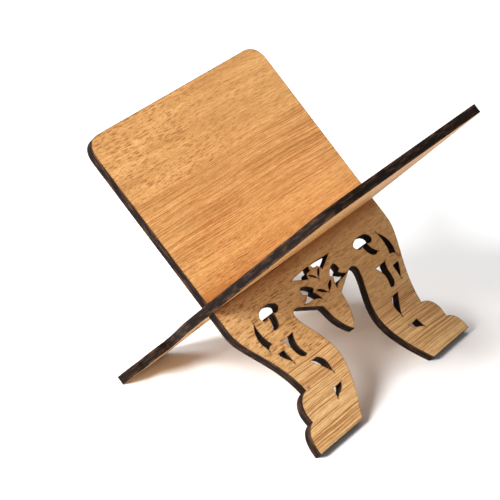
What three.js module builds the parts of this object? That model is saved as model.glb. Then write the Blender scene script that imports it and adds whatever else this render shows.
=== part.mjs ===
// A book stand (rehal) of two flat boards that are halved into each other and cross at a
// right angle. The lower half of each board is cut into a pair of scrolled legs with a
// pendant between them, and is pierced with leaf-shaped openings. The upper half is a plain
// book rest.
//
// Millimetres, +Z up. The crossing line runs along Y. The origin lies on the standing
// surface, under the middle of the crossing line.
//
// Each board is drawn in its own flat frame: x runs across the board, along the crossing
// line, and y runs up the board, with y = 0 on the crossing line.
import * as THREE from 'three';

// Driving dimensions.
const THICKNESS = 6;         // of a board
const LEAN = Math.PI / 4;    // of each board from the upright, so they cross at 90 degrees
const LEG = 105.5;           // crossing line to the end of a foot
const ARM = 121;             // crossing line to the top edge
const HALF_WIDTH = 83.4;     // of a board, from the middle to a straight side
const CORNER = 13;           // radius of a book rest's two corners
const PLAY = 0.3;            // between a slot's walls and the board inside it
const SLOT_SHORT = 0.7;      // by which a slot stops short of its board's middle
const OPENINGS_SHIFT = 0.9;  // of the openings off the board's middle, away from the slot
const OPENINGS_SHEAR = 0.015; // by which that shift grows for each millimetre downwards
const LOBES_OUT = 0.7;       // of a foot's lobes on the slot's side; the others move in by it
const LOBES_UP = 1.35;       // of a foot's lobes on the slot's side; the others drop by it
const CURVE_STEPS = 6;       // straight pieces that stand for one curve

const WOOD = { color: 0xc79a62, roughness: 0.62, metalness: 0 };

// A path is a start point and a list of moves. A move of two numbers is a straight line to
// a point, one of four is a quadratic curve, and one of six is a cubic curve, with the
// control points first.
const ARM_SIDE = {
  start: [0, ARM],
  moves: [
    [HALF_WIDTH - CORNER, ARM],
    [HALF_WIDTH, ARM, HALF_WIDTH, ARM - CORNER],
    [HALF_WIDTH, THICKNESS],
  ],
};

const SHOULDER = 18.5;       // crossing line to where the outer side starts to curve in
const OUTER_NOTCH = [61.8, -72.7];
const LOWER_NOTCH = [72.5, -89.5];
const FOOT_OUTER_CORNER = 82.3;
const FOOT_INNER_CORNER = 40.1;
const WAIST = [22, -66.5];   // where the inner side of a leg comes nearest to the middle
const ARCH_SIDE = [33.2, -35];
const ARCH_TOP = [29.6, -29.8];
const PENDANT_SHOULDER = [10.2, -38.4];
const PENDANT_TIP = 60.8;

// The outer and inner side of a leg and half of the pendant. The skew is 1 where the lobes
// of the foot stand out and up, and -1 where they stand in and down.
function legSide(skew) {
  const lobePoint = (x, y) => [x + skew * LOBES_OUT, y + skew * LOBES_UP];
  const footCorner = FOOT_OUTER_CORNER + skew * LOBES_OUT;
  return {
    start: [HALF_WIDTH, -SHOULDER],
    moves: [
      [83.2, -32, ...lobePoint(65, -48), ...lobePoint(...OUTER_NOTCH)],
      [...lobePoint(68.6, -73.6), ...lobePoint(74.3, -79.3), ...lobePoint(...LOWER_NOTCH)],
      [...lobePoint(79.3, -90.9), ...lobePoint(82.6, -97.3), footCorner, -LEG],
      [FOOT_INNER_CORNER, -LEG],
      [30.5, -91.7, 22.6, -79.2, ...WAIST],
      [21.6, -54.5, 31.6, -42.6, ...ARCH_SIDE],
      [34.5, -30.1, ...ARCH_TOP],
      [27.4, -29.9, 25, -31.2],
      PENDANT_SHOULDER,
      [8.3, -42.5, 9.9, -51.5, 0, -PENDANT_TIP],
    ],
  };
}

// Openings on one side of the board, which the other side mirrors.
const OPENINGS = {
  tulip: {
    start: [41, -21.2],
    moves: [
      [41.2, -19.6, 44.6, -18.4],
      [50, -16.8, 55.5, -18.6],
      [58.4, -20, 58.6, -22.2],
      [58.4, -23.9, 56.7, -24.5],
      [54.4, -25.3, 52.2, -23.4],
      [52.3, -28.6, 56, -31.7],
      [52.6, -34.2, 47.3, -32.2, 47.3, -23.4],
      [45.2, -25.2, 43, -24],
      [41.5, -23.2, 41, -21.2],
    ],
  },
  long_leaf: {
    start: [65.3, -22.9],
    moves: [
      [73, -30.3, 68, -39.5],
      [66.4, -38.2, 63.4, -37.8],
      [66.8, -31, 65.3, -22.9],
    ],
  },
  thorn: {
    start: [64.8, -44.9],
    moves: [
      [58.9, -45],
      [58.3, -53.4],
      [61.9, -49.6, 64.8, -44.9],
    ],
  },
  blade: {
    start: [44.5, -39.8],
    moves: [
      [49.5, -40.4, 55.6, -39.7],
      [50.6, -44.6, 54.8, -52.6, 48.2, -55.3],
      [46.8, -55.3, 45.5, -54.8],
      [50.4, -46.9, 44.5, -39.8],
    ],
  },
  hook: {
    start: [47.6, -59.9],
    moves: [
      [41.2, -60.1],
      [34.9, -63.8, 37.9, -72.1],
      [41.6, -66.2, 47.6, -59.9],
    ],
  },
  foot_leaf: {
    start: [38.1, -80.3],
    moves: [
      [42, -80.9, 46, -80.2],
      [47.7, -86.5],
      [45, -85, 42.2, -84.2],
      [39.8, -83, 38.1, -80.3],
    ],
  },
  wing: {
    start: [1.3, -13.9],
    moves: [
      [10.8, -13.9, 19, -14.9],
      [13.5, -17.8, 7.6, -20.1],
      [6.9, -18, 5.6, -16.7],
      [2, -16.5],
      [1.3, -13.9],
    ],
  },
  upper_vein: {
    start: [5.6, -18.4],
    moves: [
      [2.2, -18.7, 0.8, -22.6],
      [4, -20.6, 5.6, -18.4],
    ],
  },
  double_leaf: {
    start: [17.3, -21.7],
    moves: [
      [19.4, -22.5, 19.1, -25.9],
      [16.3, -27.3],
      [19.1, -30.1, 22.1, -30.9],
      [18.1, -32.2, 14.7, -31.8],
      [10.8, -32, 7.9, -34.8],
      [8.6, -31.2, 11.2, -28.1],
      [8.8, -26.6],
      [12.2, -22.1, 17.3, -21.7],
    ],
  },
  lower_vein: {
    start: [7.6, -28.6],
    moves: [
      [3.5, -28.5, 0.9, -33.3],
      [4.9, -31.7, 7.6, -28.6],
    ],
  },
};

// The points along a path, without its last one where the path closes on itself.
function pathPoints({ start, moves }) {
  const path = new THREE.Path();
  path.moveTo(...start);
  for (const move of moves) {
    if (move.length === 2) path.lineTo(...move);
    else if (move.length === 4) path.quadraticCurveTo(...move);
    else path.bezierCurveTo(...move);
  }
  const points = path.getPoints(CURVE_STEPS);
  if (points[0].distanceTo(points.at(-1)) < PLAY / 10) points.pop();
  return points;
}

const mirrored = (points) => points.map((p) => new THREE.Vector2(-p.x, p.y)).reverse();

// A slot from one side of the board to near the middle, read from the top down. On the side
// that has no slot, the board's edge runs straight past the crossing line.
function slotPoints(isCut) {
  if (!isCut) return [new THREE.Vector2(HALF_WIDTH, 0)];
  const wall = THICKNESS / 2 + PLAY;
  const end = SLOT_SHORT - PLAY / 2;
  return [
    new THREE.Vector2(HALF_WIDTH, wall),
    new THREE.Vector2(end, wall),
    new THREE.Vector2(end, -wall),
    new THREE.Vector2(HALF_WIDTH, -wall),
  ];
}

// A flat board whose slot opens on the side given: 1 for +x, -1 for -x.
function boardGeometry(slotSide) {
  const side = (isCut) => [
    ...pathPoints(ARM_SIDE),
    ...slotPoints(isCut),
    ...pathPoints(legSide(isCut ? 1 : -1)),
  ];
  const right = side(slotSide > 0);
  const left = mirrored(side(slotSide < 0));
  // The two sides share the middle points of the top edge and of the pendant. The outline
  // runs counter-clockwise.
  const shape = new THREE.Shape([...right, ...left.slice(1, -1)].reverse());
  const shifted = ({ x, y }) =>
    new THREE.Vector2(x - slotSide * (OPENINGS_SHIFT - OPENINGS_SHEAR * y), y);
  for (const opening of Object.values(OPENINGS)) {
    const points = pathPoints(opening);
    for (const loop of [points, mirrored(points)]) {
      shape.holes.push(new THREE.Path(loop.map(shifted)));
    }
  }
  const geometry = new THREE.ExtrudeGeometry(shape, { depth: THICKNESS, bevelEnabled: false });
  return geometry.translate(0, 0, -THICKNESS / 2);
}

// A board stood up with its width along Y, then leaned about the crossing line. A positive
// lean takes the book rest towards +X and the legs towards -X. The two slots end at Y = 0,
// which leaves each board a little off to the side away from its slot.
function leaningBoard(name, lean, slotSide) {
  const mesh = new THREE.Mesh(boardGeometry(slotSide), new THREE.MeshStandardMaterial(WOOD));
  mesh.name = name;
  mesh.rotation.set(Math.PI / 2, 0, Math.PI / 2, 'ZYX');
  mesh.position.y = -slotSide * SLOT_SHORT;
  const tilt = new THREE.Group();
  tilt.rotation.y = lean;
  tilt.add(mesh);
  return tilt;
}

// Each foot is cut square, so the stand rests on the lower arrises of its feet.
const crossingHeight = LEG * Math.cos(LEAN) + (THICKNESS / 2) * Math.sin(LEAN);

const stand = new THREE.Group();
stand.position.z = crossingHeight;
stand.add(leaningBoard('right_leg_board', -LEAN, -1));
stand.add(leaningBoard('left_leg_board', LEAN, 1));

export default stand;
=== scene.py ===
"""A book stand (rehal) of two flat veneered boards, halved into each other and crossing at a
right angle, with charred laser-cut edges.

Outlines are in millimetres in a board's own flat frame: x runs across the board, along the
crossing line, y runs up the board with y = 0 on the crossing line, and z is the way that the
board's lit face looks. Everything in the scene is in metres, in the CAD's frame.
"""
import math

import bpy
import numpy as np
from mathutils import Matrix, Vector
from mathutils.geometry import delaunay_2d_cdt


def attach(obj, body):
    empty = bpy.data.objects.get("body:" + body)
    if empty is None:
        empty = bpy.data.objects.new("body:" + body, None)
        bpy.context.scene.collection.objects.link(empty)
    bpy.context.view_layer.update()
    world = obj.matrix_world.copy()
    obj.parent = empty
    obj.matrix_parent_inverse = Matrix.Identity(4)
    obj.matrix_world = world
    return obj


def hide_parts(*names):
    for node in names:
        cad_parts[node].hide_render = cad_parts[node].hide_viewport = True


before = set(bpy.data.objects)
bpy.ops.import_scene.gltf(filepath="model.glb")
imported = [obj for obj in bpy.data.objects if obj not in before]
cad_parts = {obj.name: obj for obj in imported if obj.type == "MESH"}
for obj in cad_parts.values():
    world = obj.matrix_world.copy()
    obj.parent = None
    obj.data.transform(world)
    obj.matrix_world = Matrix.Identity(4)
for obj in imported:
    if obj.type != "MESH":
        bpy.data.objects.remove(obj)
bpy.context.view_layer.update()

MM = 0.001

# ---------------------------------------------------------------- camera and studio

CAMERA_TARGET = Vector((-0.0200, -0.0145, 0.0785))
CAMERA_AZIMUTH, CAMERA_ELEVATION, CAMERA_ROLL = 38.19, 28.99, -3.32   # degrees
CAMERA_DISTANCE = 1.1347
CAMERA_LENS = 134.3     # mm, on a 36 mm sensor

WORLD_LIGHT = 0.29
FLOOR_COLOUR = (0.87, 0.87, 0.87, 1)
FLOOR_RADIUS = 12.0

# name, where it stands, width, power in watts
LAMPS = (
    ("front_lamp", (-0.28, -1.46, 1.11), 0.75, 61.0),
    ("top_lamp", (-0.35, -0.05, 1.97), 0.80, 23.0),
    ("left_lamp", (-1.60, -0.45, 1.20), 0.90, 8.0),
)


def back_vector(azimuth, elevation):
    """The unit vector from the target to a camera. Azimuth 0 looks along +Y."""
    a, e = math.radians(azimuth), math.radians(elevation)
    return Vector((math.sin(a) * math.cos(e), -math.cos(a) * math.cos(e), math.sin(e)))


def add_camera():
    data = bpy.data.cameras.new("camera")
    data.lens = CAMERA_LENS
    data.clip_start, data.clip_end = 0.05, 50
    camera = bpy.data.objects.new("camera", data)
    back = back_vector(CAMERA_AZIMUTH, CAMERA_ELEVATION)
    right = Vector((0, 0, 1)).cross(back).normalized()
    up = back.cross(right)
    level = Matrix((right, up, back)).transposed()
    turned = level @ Matrix.Rotation(math.radians(CAMERA_ROLL), 3, "Z")
    place = CAMERA_TARGET + back * CAMERA_DISTANCE
    camera.matrix_world = Matrix.Translation(place) @ turned.to_4x4()
    bpy.context.scene.collection.objects.link(camera)
    bpy.context.scene.camera = camera


def add_lamps():
    for name, place, width, watts in LAMPS:
        data = bpy.data.lights.new(name, "AREA")
        data.shape = "DISK"
        data.size = width
        data.energy = watts
        lamp = bpy.data.objects.new(name, data)
        lamp.location = place
        lamp.rotation_euler = Vector(place).to_track_quat("Z", "Y").to_euler()
        bpy.context.scene.collection.objects.link(lamp)


def add_world():
    world = bpy.data.worlds.new("studio")
    world.use_nodes = True
    background = world.node_tree.nodes["Background"]
    background.inputs["Color"].default_value = (1, 1, 1, 1)
    background.inputs["Strength"].default_value = WORLD_LIGHT
    bpy.context.scene.world = world
    bpy.context.scene.view_settings.view_transform = "Standard"


def add_floor():
    mesh = bpy.data.meshes.new("floor")
    steps = 64
    turns = [2 * math.pi * i / steps for i in range(steps)]
    rim = [(FLOOR_RADIUS * math.cos(t), FLOOR_RADIUS * math.sin(t), 0) for t in turns]
    mesh.from_pydata(rim, [], [range(steps)])
    tree = new_material("floor_paint")
    surface = tree.nodes["Principled BSDF"]
    surface.inputs["Base Color"].default_value = FLOOR_COLOUR
    surface.inputs["Roughness"].default_value = 0.8
    surface.inputs["Specular IOR Level"].default_value = 0.2
    mesh.materials.append(bpy.data.materials["floor_paint"])
    floor = bpy.data.objects.new("floor", mesh)
    bpy.context.scene.collection.objects.link(floor)


# ---------------------------------------------------------------- node helpers

def new_material(name):
    """Makes a material with its Principled shader, and returns its node tree."""
    material = bpy.data.materials.new(name)
    material.use_nodes = True
    return material.node_tree


def put(tree, node, inputs):
    """Links or sets a node's inputs, and returns its first output."""
    for key, value in inputs.items():
        if isinstance(value, bpy.types.NodeSocket):
            tree.links.new(value, node.inputs[key])
        else:
            node.inputs[key].default_value = value
    return node.outputs[0]


def attribute(tree, name, output):
    node = tree.nodes.new("ShaderNodeAttribute")
    node.attribute_name = name
    return node.outputs[output]


def calc(tree, operation, a, b=0.0, clamp=False):
    node = tree.nodes.new("ShaderNodeMath")
    node.operation = operation
    node.use_clamp = clamp
    return put(tree, node, {0: a, 1: b})


def scaled(tree, vector, factors):
    node = tree.nodes.new("ShaderNodeVectorMath")
    node.operation = "MULTIPLY"
    return put(tree, node, {0: vector, 1: factors})


def noise(tree, vector, seed, detail=2.0, roughness=0.5):
    """Smooth noise about 0.5, with features about one unit across. A seed picks the pattern."""
    node = tree.nodes.new("ShaderNodeTexNoise")
    node.noise_dimensions = "4D"
    inputs = {"Vector": vector, "W": seed, "Scale": 1.0, "Detail": detail}
    return put(tree, node, {**inputs, "Roughness": roughness})


def remap(tree, value, low, high, to_low=0.0, to_high=1.0):
    """A smooth step from to_low at low to to_high at high."""
    node = tree.nodes.new("ShaderNodeMapRange")
    node.interpolation_type = "SMOOTHSTEP"
    return put(tree, node, {0: value, 1: low, 2: high, 3: to_low, 4: to_high})


def ramp(tree, value, stops, interpolation="LINEAR"):
    node = tree.nodes.new("ShaderNodeValToRGB")
    band = node.color_ramp
    band.interpolation = interpolation
    while len(band.elements) < len(stops):
        band.elements.new(0.5)
    for element, (place, colour) in zip(band.elements, stops):
        element.position = place
        element.color = (*colour, 1)
    return put(tree, node, {0: value})


def mix(tree, amount, a, b, way="MIX"):
    node = tree.nodes.new("ShaderNodeMix")
    node.data_type = "RGBA"
    node.blend_type = way
    put(tree, node, {0: amount, 6: a, 7: b})
    return node.outputs[2]


def bump(tree, height, depth, normal=None):
    """The normal of a surface with hills of that depth in metres."""
    node = tree.nodes.new("ShaderNodeBump")
    inputs = {"Height": height, "Distance": depth, "Strength": 1.0}
    if normal is not None:
        inputs["Normal"] = normal
    return put(tree, node, inputs)


# ---------------------------------------------------------------- board shape

THICKNESS = 6           # of a board
LEAN = 45               # degrees of each board from the upright
LEG = 105.5             # crossing line to the end of a foot
ARM = 121               # crossing line to the top edge
HALF_WIDTH = 83.4       # of a board, from the middle to a straight side
CORNER = 13             # radius of a book rest's two corners
PLAY = 0.1              # between a slot's walls and the board inside it
SLOT_SHORT = 0.7        # by which a slot stops short of its board's middle
OPENINGS_SHIFT = 0.9    # of the openings off the board's middle, away from the slot
OPENINGS_SHEAR = 0.015  # by which that shift grows for each millimetre downwards
LOBES_OUT = 0.7         # of a foot's lobes on the slot's side; the others move in by it
LOBES_UP = 1.35         # of a foot's lobes on the slot's side; the others drop by it
ARRIS = 0.22            # radius that rounds a board's sharp edges
SHARP_ANGLE = 38        # degrees between two faces that keeps their edge sharp
CURVE_STEPS = 22        # straight pieces that stand for one curve
LINE_STEP = 2.5         # longest piece of a straight line

# A path is a start point and a list of moves. A move of two numbers is a straight line to a
# point, one of four is a quadratic curve, and one of six is a cubic curve, with the control
# points first.
ARM_SIDE = ((0, ARM), (
    (HALF_WIDTH - CORNER, ARM),
    (HALF_WIDTH, ARM, HALF_WIDTH, ARM - CORNER),
    (HALF_WIDTH, THICKNESS),
))

SHOULDER = 18.5         # crossing line to where the outer side starts to curve in
OUTER_NOTCH = (61.8, -72.7)
LOWER_NOTCH = (72.5, -89.5)
FOOT_OUTER_CORNER = 82.3
FOOT_INNER_CORNER = 40.1
WAIST = (22, -66.5)     # where the inner side of a leg comes nearest to the middle
ARCH_SIDE = (33.2, -35)
ARCH_TOP = (29.6, -29.8)
PENDANT_SHOULDER = (10.2, -38.4)
PENDANT_TIP = 60.8


def leg_side(skew):
    """The outer and inner side of a leg and half of the pendant. The skew is 1 where the lobes
    of the foot stand out and up, and -1 where they stand in and down."""
    def lobe_point(x, y):
        return x + skew * LOBES_OUT, y + skew * LOBES_UP

    foot_corner = FOOT_OUTER_CORNER + skew * LOBES_OUT
    return (HALF_WIDTH, -SHOULDER), (
        (83.2, -32, *lobe_point(65, -48), *lobe_point(*OUTER_NOTCH)),
        (*lobe_point(68.6, -73.6), *lobe_point(74.3, -79.3), *lobe_point(*LOWER_NOTCH)),
        (*lobe_point(79.3, -90.9), *lobe_point(82.6, -97.3), foot_corner, -LEG),
        (FOOT_INNER_CORNER, -LEG),
        (30.5, -91.7, 22.6, -79.2, *WAIST),
        (21.6, -54.5, 31.6, -42.6, *ARCH_SIDE),
        (34.5, -30.1, *ARCH_TOP),
        (27.4, -29.9, 25, -31.2),
        PENDANT_SHOULDER,
        (8.3, -42.5, 9.9, -51.5, 0, -PENDANT_TIP),
    )


# Openings on one side of the board, which the other side mirrors.
OPENINGS = {
    "tulip": ((41, -21.2), (
        (41.2, -19.6, 44.6, -18.4),
        (50, -16.8, 55.5, -18.6),
        (58.4, -20, 58.6, -22.2),
        (58.4, -23.9, 56.7, -24.5),
        (54.4, -25.3, 52.2, -23.4),
        (52.3, -28.6, 56, -31.7),
        (52.6, -34.2, 47.3, -32.2, 47.3, -23.4),
        (45.2, -25.2, 43, -24),
        (41.5, -23.2, 41, -21.2),
    )),
    "long_leaf": ((65.3, -22.9), (
        (73, -30.3, 68, -39.5),
        (66.4, -38.2, 63.4, -37.8),
        (66.8, -31, 65.3, -22.9),
    )),
    "thorn": ((64.8, -44.9), (
        (58.9, -45),
        (58.3, -53.4),
        (61.9, -49.6, 64.8, -44.9),
    )),
    "blade": ((44.5, -39.8), (
        (49.5, -40.4, 55.6, -39.7),
        (50.6, -44.6, 54.8, -52.6, 48.2, -55.3),
        (46.8, -55.3, 45.5, -54.8),
        (50.4, -46.9, 44.5, -39.8),
    )),
    "hook": ((47.6, -59.9), (
        (41.2, -60.1),
        (34.9, -63.8, 37.9, -72.1),
        (41.6, -66.2, 47.6, -59.9),
    )),
    "foot_leaf": ((38.1, -80.3), (
        (42, -80.9, 46, -80.2),
        (47.7, -86.5),
        (45, -85, 42.2, -84.2),
        (39.8, -83, 38.1, -80.3),
    )),
    "wing": ((1.3, -13.9), (
        (10.8, -13.9, 19, -14.9),
        (13.5, -17.8, 7.6, -20.1),
        (6.9, -18, 5.6, -16.7),
        (2, -16.5),
        (1.3, -13.9),
    )),
    "upper_vein": ((5.6, -18.4), (
        (2.2, -18.7, 0.8, -22.6),
        (4, -20.6, 5.6, -18.4),
    )),
    "double_leaf": ((17.3, -21.7), (
        (19.4, -22.5, 19.1, -25.9),
        (16.3, -27.3),
        (19.1, -30.1, 22.1, -30.9),
        (18.1, -32.2, 14.7, -31.8),
        (10.8, -32, 7.9, -34.8),
        (8.6, -31.2, 11.2, -28.1),
        (8.8, -26.6),
        (12.2, -22.1, 17.3, -21.7),
    )),
    "lower_vein": ((7.6, -28.6), (
        (3.5, -28.5, 0.9, -33.3),
        (4.9, -31.7, 7.6, -28.6),
    )),
}

# Where the laser stopped to turn it left a burnt patch: the place of its middle among the
# openings, how far it reaches along x and along y, and how dark it is.
BURNT_PATCHES = (
    ((65.1, -22.0), (0.7, 1.3), 0.6),
    ((62.4, -21.4), (1.9, 0.5), 0.35),
    ((68.2, -40.6), (0.7, 1.4), 0.65),
    ((69.6, -42.4), (2.4, 1.3), 0.35),
    ((58.2, -54.4), (0.8, 1.3), 0.6),
    ((37.6, -73.1), (0.8, 1.3), 0.65),
    ((61.4, -71.0), (1.8, 1.1), 0.45),
    ((56.7, -32.2), (1.0, 0.6), 0.6),
    ((56.2, -39.5), (1.0, 0.6), 0.5),
    ((48.0, -87.0), (0.7, 0.7), 0.6),
    ((37.2, -80.0), (0.9, 0.5), 0.5),
    ((19.6, -14.9), (1.2, 0.4), 0.6),
    ((22.8, -31.1), (1.0, 0.4), 0.7),
    ((0.0, -23.4), (1.7, 1.3), 0.45),
    ((0.0, -33.9), (1.2, 0.7), 0.55),
)


def curve_points(ends, steps):
    """Points along a Bezier curve of any degree after its first point."""
    points = []
    for i in range(1, steps + 1):
        t = i / steps
        row = ends
        while len(row) > 1:
            row = [a + (b - a) * t for a, b in zip(row, row[1:])]
        points.append(row[0])
    return points


def path_points(path):
    """The points along a path, without its last one where the path closes on itself."""
    start, moves = path
    points = [np.array(start, float)]
    for move in moves:
        ends = [points[-1], *np.array(move, float).reshape(-1, 2)]
        length = np.linalg.norm(ends[-1] - ends[0])
        straight = len(ends) == 2
        steps = max(1, math.ceil(length / LINE_STEP))
        points += curve_points(ends, steps if straight else min(CURVE_STEPS, 6 + steps * 2))
    if np.linalg.norm(points[0] - points[-1]) < ARRIS / 10:
        points.pop()
    return np.array(points)


def mirrored(points):
    return (points * (-1, 1))[::-1]


def slot_points(is_cut):
    """A slot from one side of the board to near the middle, read from the top down."""
    if not is_cut:
        return np.array([(HALF_WIDTH, 0.0)])
    wall, end = THICKNESS / 2 + PLAY, SLOT_SHORT - PLAY / 2
    corners = ((HALF_WIDTH, wall), ((end, wall), (end, -wall), (HALF_WIDTH, -wall)))
    return path_points(corners)


def shifted(points, slot_side):
    """Points among the openings, moved away from the slot, and more so further down."""
    shift = OPENINGS_SHIFT - OPENINGS_SHEAR * points[:, 1]
    return points - slot_side * np.outer(shift, (1, 0))


def board_loops(slot_side):
    """The outline, counter-clockwise, and then the openings, clockwise."""
    def side(is_cut):
        leg = leg_side(1 if is_cut else -1)
        return np.vstack([path_points(ARM_SIDE), slot_points(is_cut), path_points(leg)])

    right, left = side(slot_side > 0), mirrored(side(slot_side < 0))
    loops = [np.vstack([right, left[1:-1]])[::-1]]
    for path in OPENINGS.values():
        points = path_points(path)
        for loop in (points, mirrored(points)):
            loops.append(shifted(loop, slot_side))
    return [wound(loop, i == 0) for i, loop in enumerate(loops)]


def wound(loop, counter_clockwise):
    x, y = loop.T
    area = np.sum(x * np.roll(y, -1) - y * np.roll(x, -1))
    return loop if (area > 0) == counter_clockwise else loop[::-1]


def inward(loop, distance):
    """The loop moved into the wood, which lies on its left, with its corners kept short."""
    before, after = loop - np.roll(loop, 1, 0), np.roll(loop, -1, 0) - loop
    to_left = np.array([[0, 1], [-1, 0]])
    sides = [d / np.linalg.norm(d, axis=1)[:, None] @ to_left for d in (before, after)]
    middle = sides[0] + sides[1]
    middle /= np.maximum(np.linalg.norm(middle, axis=1), 1e-6)[:, None]
    spread = np.maximum((middle * sides[0]).sum(1), 0.5)[:, None]
    return loop + middle * distance / spread


def loop_segments(loops):
    starts = np.vstack(loops)
    ends = np.vstack([np.roll(loop, -1, 0) for loop in loops])
    return starts, ends


BLOCK = 500             # points handled at a time, to spare memory


def distance_to(points, starts, ends):
    """The distance from each point to the nearest segment."""
    nearest = np.full(len(points), np.inf)
    along = ends - starts
    squared = (along**2).sum(1)
    for block in range(0, len(points), BLOCK):
        gap = points[block:block + BLOCK, None, :] - starts
        share = np.clip((gap * along).sum(2) / squared, 0, 1)
        apart = np.linalg.norm(gap - share[..., None] * along, axis=2)
        nearest[block:block + BLOCK] = apart.min(1)
    return nearest


def inside(points, starts, ends):
    """Whether each point lies in the wood, by counting the edges to its right."""
    result = np.zeros(len(points), bool)
    low, high = starts[:, 1], ends[:, 1]
    slope = (ends[:, 0] - starts[:, 0]) / np.where(high == low, 1, high - low)
    for block in range(0, len(points), BLOCK):
        x, y = points[block:block + BLOCK].T[..., None]
        crosses = (low > y) != (high > y)
        right_of = x < starts[:, 0] + (y - low) * slope
        result[block:block + BLOCK] = (crosses & right_of).sum(1) % 2 == 1
    return result


RING_DISTANCES = (0.5, 0.9, 1.5, 2.4, 4.0)      # rows of face points along every cut
PATCH_RINGS = (0, 0.5, 1, 1.6, 2.3)             # rows of face points around a burnt patch
PATCH_TURNS = 10                                # points in each of those rows
RIM_GAP = 0.12                                  # least distance of a face point from the rim
FAR_FROM_CUT = RING_DISTANCES[-1]


def ring_points(loops, starts, ends):
    """Points of the face at set distances from the cuts, for the burn to fade across."""
    rings = []
    for distance in RING_DISTANCES:
        for loop in loops:
            ring = inward(loop, distance)
            apart = distance_to(ring, starts, ends)
            ring = ring[(apart > 0.9 * distance) & inside(ring, starts, ends)]
            last = None
            for point in ring:
                if last is None or np.linalg.norm(point - last) > 0.6 * distance:
                    rings.append(point)
                    last = point
    return np.array(rings)


def patch_places(slot_side):
    """Each burnt patch on both sides of the board: middle, reach and strength."""
    for (x, y), reach, strength in BURNT_PATCHES:
        for side in (1, -1):
            place = shifted(np.array([(side * x, y)]), slot_side)[0]
            yield place, np.array(reach), strength


def patch_points(slot_side):
    """Face points close around each burnt patch."""
    turns = np.linspace(0, 2 * math.pi, PATCH_TURNS, endpoint=False)
    circle = np.array([np.cos(turns), np.sin(turns)]).T
    rows = [place + circle * reach * size
            for place, reach, _ in patch_places(slot_side) for size in PATCH_RINGS]
    return np.vstack([row[:1] if np.ptp(row) == 0 else row for row in rows])


def face_mesh(loops, slot_side):
    """Points and triangles of the flat face, and how near and how burnt each point is."""
    starts, ends = loop_segments(loops)
    rims = [inward(loop, ARRIS) for loop in loops]
    rim = np.vstack(rims)
    extra = np.vstack([ring_points(loops, starts, ends), patch_points(slot_side)])
    extra = extra[distance_to(extra, *loop_segments(rims)) > RIM_GAP]
    extra = extra[inside(extra, *loop_segments(rims))]
    edges, first = [], 0
    for loop in loops:
        count = len(loop)
        edges += [(first + i, first + (i + 1) % count) for i in range(count)]
        first += count
    points = np.vstack([rim, extra])
    cut = delaunay_2d_cdt([Vector(p) for p in points], edges, [], 0, 1e-4, True)
    found, triangles, sources = np.array(cut[0]), cut[2], cut[3]
    order = {source[0]: i for i, source in enumerate(sources) if source}
    centres = np.array([found[list(t)].mean(0) for t in triangles])
    kept = inside(centres, *loop_segments(rims))
    triangles = [t for t, keep in zip(triangles, kept) if keep]
    nearness = np.minimum(distance_to(found, starts, ends), FAR_FROM_CUT)
    burn = np.zeros(len(found))
    for place, reach, strength in patch_places(slot_side):
        away = (((found - place) / reach) ** 2).sum(1)
        burn = np.maximum(burn, strength * np.exp(-away))
    return found, triangles, order, nearness, burn


ARRIS_TURNS = (30, 60)      # degrees, the rows between a face and the cut


def board_mesh(name, slot_side, place):
    """A board with rounded arrises. Material 0 is the face's and material 1 the cut's."""
    loops = board_loops(slot_side)
    flat, triangles, order, nearness, burn = face_mesh(loops, slot_side)
    half = THICKNESS / 2
    count = len(flat)
    points = [(x, y, half) for x, y in flat] + [(x, y, -half) for x, y in flat]
    near, burnt = [*nearness, *nearness], [*burn, *burn]
    faces = [tuple(t) for t in triangles]
    faces += [tuple(count + i for i in reversed(t)) for t in triangles]
    slots = [0] * len(faces)
    turns = [math.radians(t) for t in ARRIS_TURNS]
    profile = [(ARRIS * (1 - math.sin(t)), half - ARRIS * (1 - math.cos(t))) for t in turns]
    profile.append((0, half - ARRIS))
    profile += [(inset, -height) for inset, height in reversed(profile)]
    first = 0
    for loop in loops:
        size = len(loop)
        rows = [[order[first + i] for i in range(size)]]
        for inset, height in profile:
            row = inward(loop, inset)
            rows.append(list(range(len(points), len(points) + size)))
            points += [(x, y, height) for x, y in row]
            near += [0.0] * size
            burnt += [0.0] * size
        rows.append([count + i for i in rows[0]])
        for k, (upper, lower) in enumerate(zip(rows, rows[1:])):
            for i in range(size):
                j = (i + 1) % size
                faces.append((upper[i], lower[i], lower[j], upper[j]))
                slots.append(0 if k in (0, len(rows) - 2) else 1)
        first += size
    mesh = bpy.data.meshes.new(name)
    local = np.array(points)
    mesh.from_pydata([place @ Vector(p * MM) for p in local], [], faces)
    own_frame = mesh.attributes.new("board_mm", "FLOAT_VECTOR", "POINT")
    own_frame.data.foreach_set("vector", local.ravel())
    for label, values in (("from_cut_mm", near), ("burn", burnt)):
        mesh.attributes.new(label, "FLOAT", "POINT").data.foreach_set("value", values)
    mesh.polygons.foreach_set("material_index", slots)
    mesh.shade_smooth()
    mesh.set_sharp_from_angle(angle=math.radians(SHARP_ANGLE))
    mesh.validate()
    return mesh


def board_place(lean, slot_side):
    """From the board's frame, in metres, to the stand's. A positive lean takes the arm to +X."""
    turn = math.radians(LEAN)
    height = LEG * math.cos(turn) + THICKNESS / 2 * math.sin(turn)
    middle = Matrix.Translation(Vector((0, -slot_side * SLOT_SHORT, height)) * MM)
    upright = Matrix(((0, 0, 1), (1, 0, 0), (0, 1, 0))).to_4x4()
    return middle @ Matrix.Rotation(math.radians(lean), 4, "Y") @ upright


# ---------------------------------------------------------------- materials

# Strips of veneer from the feet up: the height where each begins, in mm, how strong its long
# lines and its short flecks are, and how light it is. The lightness is partly painted shade: the
# flecked strip under the arms is darker for the shade that falls there, and the strips of the
# arms are much darker to hold down the lamps' light on their inner faces.
STRIPS = (
    (-144, 1.0, 0.12, 0.68),
    (-57.5, 0.28, 1.0, 0.55),
    (0, 0.50, 0.7, 0.12),
    (29, 0.85, 0.35, 0.08),
    (72, 0.35, 0.9, 0.14),
)
STRIPS_TOP = 200
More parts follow.
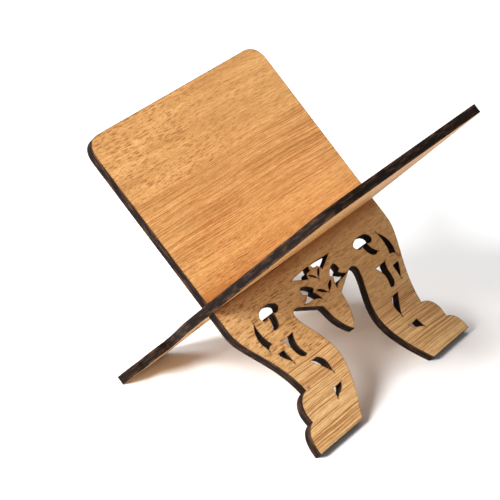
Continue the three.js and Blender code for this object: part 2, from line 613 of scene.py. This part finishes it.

# Painted shade along the crossing line, where the other board's arm hangs over the face: a
# darker, redder band that stands in for shade and warm bounce light there. Where it begins, is
# deepest and ends, in mm.
CROSSING_SHADE_BAND = (-15, -3, 14)
CROSSING_SHADE_STRENGTH = 0.80

# The veneer from its darkest tone to its lightest.
TONES = (
    (0.0, (0.50, 0.260, 0.090)),
    (0.5, (0.72, 0.405, 0.155)),
    (1.0, (0.94, 0.620, 0.290)),
)
RED_BROWN = (0.42, 0.155, 0.036, 1)
# Painted shade: the dark red that the band along the crossing line blends in.
SHADE_RED = (0.36, 0.115, 0.018, 1)
FLECK = (0.33, 0.125, 0.028, 1)
SINGED = (0.22, 0.075, 0.022, 1)
SOOT = (0.030, 0.012, 0.006, 1)


WANDER = 5.0            # mm, by which the grain drifts up and down
CLIMB = 0.012           # slope of the grain across the board
GRAIN_DEPTH = 0.00014   # m
CHAR_DEPTH = 0.00012    # m


def flecks(tree, grain, size, seed):
    """Short dashes along the grain, one to a cell, some of them strong and some faint."""
    shifted = tree.nodes.new("ShaderNodeVectorMath")
    place = put(tree, shifted, {0: scaled(tree, grain, size), 1: (seed, 2 * seed, 3 * seed)})
    cells = tree.nodes.new("ShaderNodeTexVoronoi")
    put(tree, cells, {"Vector": place, "Scale": 1.0, "Randomness": 1.0})
    strength = tree.nodes.new("ShaderNodeSeparateColor")
    put(tree, strength, {0: cells.outputs["Color"]})
    dash = remap(tree, cells.outputs["Distance"], 0.14, 0.52, 1.0, 0.0)
    return calc(tree, "MULTIPLY", dash, remap(tree, strength.outputs[0], 0.0, 0.5, 0.0, 1.0))


def veneer(name, seed):
    """Sliced veneer whose grain runs across the board, in strips, singed along the cuts, with
    painted shade along the crossing line and in the strips' lightness.
    """
    tree = new_material(name)
    place = attribute(tree, "board_mm", "Vector")
    axes = tree.nodes.new("ShaderNodeSeparateXYZ")
    put(tree, axes, {0: place})
    along, across, depth = axes.outputs

    # The grain wanders by a millimetre or so over a hand's width, and climbs a little.
    drift = noise(tree, scaled(tree, place, (1 / 55, 1 / 40, 1)), seed, 1)
    wander = calc(tree, "MULTIPLY", calc(tree, "SUBTRACT", drift, 0.5), WANDER)
    climb = calc(tree, "MULTIPLY", along, CLIMB)
    bent = calc(tree, "ADD", calc(tree, "ADD", across, wander), climb)
    grain_axes = tree.nodes.new("ShaderNodeCombineXYZ")
    grain = put(tree, grain_axes, {0: along, 1: bent, 2: depth})

    # Each strip's own strengths: red for lines, green for flecks, blue for lightness.
    span = STRIPS_TOP - STRIPS[0][0]
    share = calc(tree, "DIVIDE", calc(tree, "SUBTRACT", across, STRIPS[0][0]), span)
    stops = [((start - STRIPS[0][0]) / span, strengths) for start, *strengths in STRIPS]
    strip = tree.nodes.new("ShaderNodeSeparateColor")
    put(tree, strip, {0: ramp(tree, share, stops, "CONSTANT")})
    line_strength, fleck_strength, lightness = strip.outputs

    # Broad bands of tone along the grain.
    broad = noise(tree, scaled(tree, grain, (1 / 90, 1 / 9, 1)), seed + 1, 3, 0.55)
    # The strip's lightness sets the tone, and is partly painted shade on the legs' upper strip
    # and on the arms.
    tone = calc(tree, "ADD", remap(tree, broad, 0.25, 0.75, 0, 0.5), lightness, True)
    colour = ramp(tree, tone, TONES)
    # Painted shade and warm bounce light: a darker, redder band along the crossing line, under
    # the other board's arm.
    begins, deepest, ends = CROSSING_SHADE_BAND
    rising, falling = remap(tree, bent, begins, deepest), remap(tree, bent, deepest, ends, 1, 0)
    crossing_shade = calc(tree, "MULTIPLY", calc(tree, "MULTIPLY", rising, falling), CROSSING_SHADE_STRENGTH)
    colour = mix(tree, crossing_shade, colour, SHADE_RED)

    # Long straight lines, strong ones over fine ones.
    strong = noise(tree, scaled(tree, grain, (1 / 110, 1 / 0.52, 1)), seed + 2, 1, 0.5)
    fine = noise(tree, scaled(tree, grain, (1 / 18, 1 / 0.36, 1)), seed + 3, 2, 0.6)
    strong_lines = remap(tree, strong, 0.51, 0.59)
    lines = calc(tree, "ADD", strong_lines, remap(tree, fine, 0.48, 0.72, 0, 0.5))
    lines = calc(tree, "MULTIPLY", lines, line_strength, True)
    colour = mix(tree, calc(tree, "MULTIPLY", lines, 0.85), colour, RED_BROWN)

    # Short dark flecks, thicker in some places than in others and thinner towards one side.
    crowd = noise(tree, scaled(tree, grain, (1 / 30, 1 / 12, 1)), seed + 5, 2)
    crowd = calc(tree, "MULTIPLY", remap(tree, crowd, 0.30, 0.60, 0.70, 1.0), fleck_strength)
    crowd = calc(tree, "MULTIPLY", crowd, remap(tree, along, -45, 45, 1.0, 0.45))
    dashes = flecks(tree, grain, (1 / 7.5, 1 / 1.35, 1 / 3), seed)
    specks = flecks(tree, grain, (1 / 3.8, 1 / 0.95, 1 / 2), seed + 0.37)
    dashes = calc(tree, "MAXIMUM", dashes, calc(tree, "MULTIPLY", specks, 0.7))
    dashes = calc(tree, "MULTIPLY", dashes, crowd)
    colour = mix(tree, calc(tree, "MULTIPLY", dashes, 0.95), colour, FLECK)

    # Warm red streaks, and a faint ripple across the grain.
    warm = noise(tree, scaled(tree, grain, (1 / 60, 1 / 5, 1)), seed + 6, 3, 0.6)
    colour = mix(tree, remap(tree, warm, 0.50, 0.72, 0, 0.35), colour, RED_BROWN)
    ripple = noise(tree, scaled(tree, grain, (1 / 8, 1 / 1.1, 1)), seed + 7, 3, 0.6)
    shades = ramp(tree, ripple, ((0.32, (0.78, 0.70, 0.60)), (0.62, (1.0, 1.0, 1.0))))
    colour = mix(tree, 1.0, colour, shades, "MULTIPLY")

    # Singed brown beside the cuts and sooty on them, with burnt patches where the laser turned.
    from_cut = attribute(tree, "from_cut_mm", "Fac")
    uneven = noise(tree, scaled(tree, place, (1 / 3, 1 / 3, 1 / 3)), seed + 8, 2)
    burn = attribute(tree, "burn", "Fac")
    halo = remap(tree, from_cut, 0.1, 1.5, 0.38, 0.0)
    halo = calc(tree, "MULTIPLY", halo, remap(tree, uneven, 0.35, 0.7, 0.25, 1.0))
    singed = calc(tree, "MAXIMUM", halo, remap(tree, burn, 0.0, 0.55, 0.0, 0.95), True)
    colour = mix(tree, singed, colour, SINGED)
    width = remap(tree, uneven, 0.3, 0.7, 0.25, 0.55)
    rim = calc(tree, "SUBTRACT", 1.0, calc(tree, "DIVIDE", from_cut, width), True)
    sooty = calc(tree, "MAXIMUM", rim, remap(tree, burn, 0.45, 0.9), True)
    colour = mix(tree, sooty, colour, SOOT)

    hollow = calc(tree, "ADD", calc(tree, "MULTIPLY", lines, 0.5), dashes)
    height = calc(tree, "SUBTRACT", calc(tree, "MULTIPLY", fine, 0.35), hollow)
    surface = tree.nodes["Principled BSDF"]
    rough = remap(tree, hollow, 0.0, 1.0, 0.50, 0.68)
    put(tree, surface, {"Base Color": colour, "Roughness": rough, "Specular IOR Level": 0.22,
                        "Normal": bump(tree, height, GRAIN_DEPTH)})
    return bpy.data.materials[name]


CHAR = (
    (0.0, (0.0060, 0.0032, 0.0022)),
    (0.5, (0.0170, 0.0085, 0.0050)),
    (1.0, (0.0680, 0.0330, 0.0190)),
)


def charred_cut(name, seed):
    """The board's core, charred by the laser: streaks through the thickness, browner rims."""
    tree = new_material(name)
    place = attribute(tree, "board_mm", "Vector")
    streak = noise(tree, scaled(tree, place, (1 / 0.5, 1 / 0.5, 1 / 9)), seed, 3, 0.65)
    patch = noise(tree, scaled(tree, place, (1 / 9, 1 / 9, 1 / 1.6)), seed + 1, 3, 0.6)
    axes = tree.nodes.new("ShaderNodeSeparateXYZ")
    put(tree, axes, {0: place})
    off_middle = calc(tree, "ABSOLUTE", axes.outputs[2])
    rims = remap(tree, off_middle, 1.4, 3.0, 0.0, 0.6)
    brown = calc(tree, "ADD", rims, remap(tree, patch, 0.42, 0.62, 0, 0.8))
    brown = calc(tree, "MULTIPLY", brown, remap(tree, streak, 0.3, 0.7, 0.6, 1.15), True)
    surface = tree.nodes["Principled BSDF"]
    rough = remap(tree, streak, 0.3, 0.7, 0.65, 0.9)
    put(tree, surface, {"Base Color": ramp(tree, brown, CHAR), "Roughness": rough,
                        "Specular IOR Level": 0.10, "Normal": bump(tree, streak, CHAR_DEPTH)})
    return bpy.data.materials[name]


# ---------------------------------------------------------------- the two boards

# piece, CAD node, body, lean in degrees, side that the slot opens on, seed of its grain
BOARDS = (
    ("right_board_veneered", "right_leg_board", "right_leg_body", -LEAN, -1, 11.0),
    ("left_board_veneered", "left_leg_board", "left_leg_body", LEAN, 1, 47.0),
)

add_camera()
add_lamps()
add_world()
add_floor()
for piece_name, node, body, lean, slot_side, seed in BOARDS:
    shape = board_mesh(piece_name, slot_side, board_place(lean, slot_side))
    shape.materials.append(veneer("veneer_" + node, seed))
    shape.materials.append(charred_cut("charred_cut_" + node, seed))
    piece = bpy.data.objects.new(piece_name, shape)
    bpy.context.scene.collection.objects.link(piece)
    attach(piece, body)
    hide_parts(node)
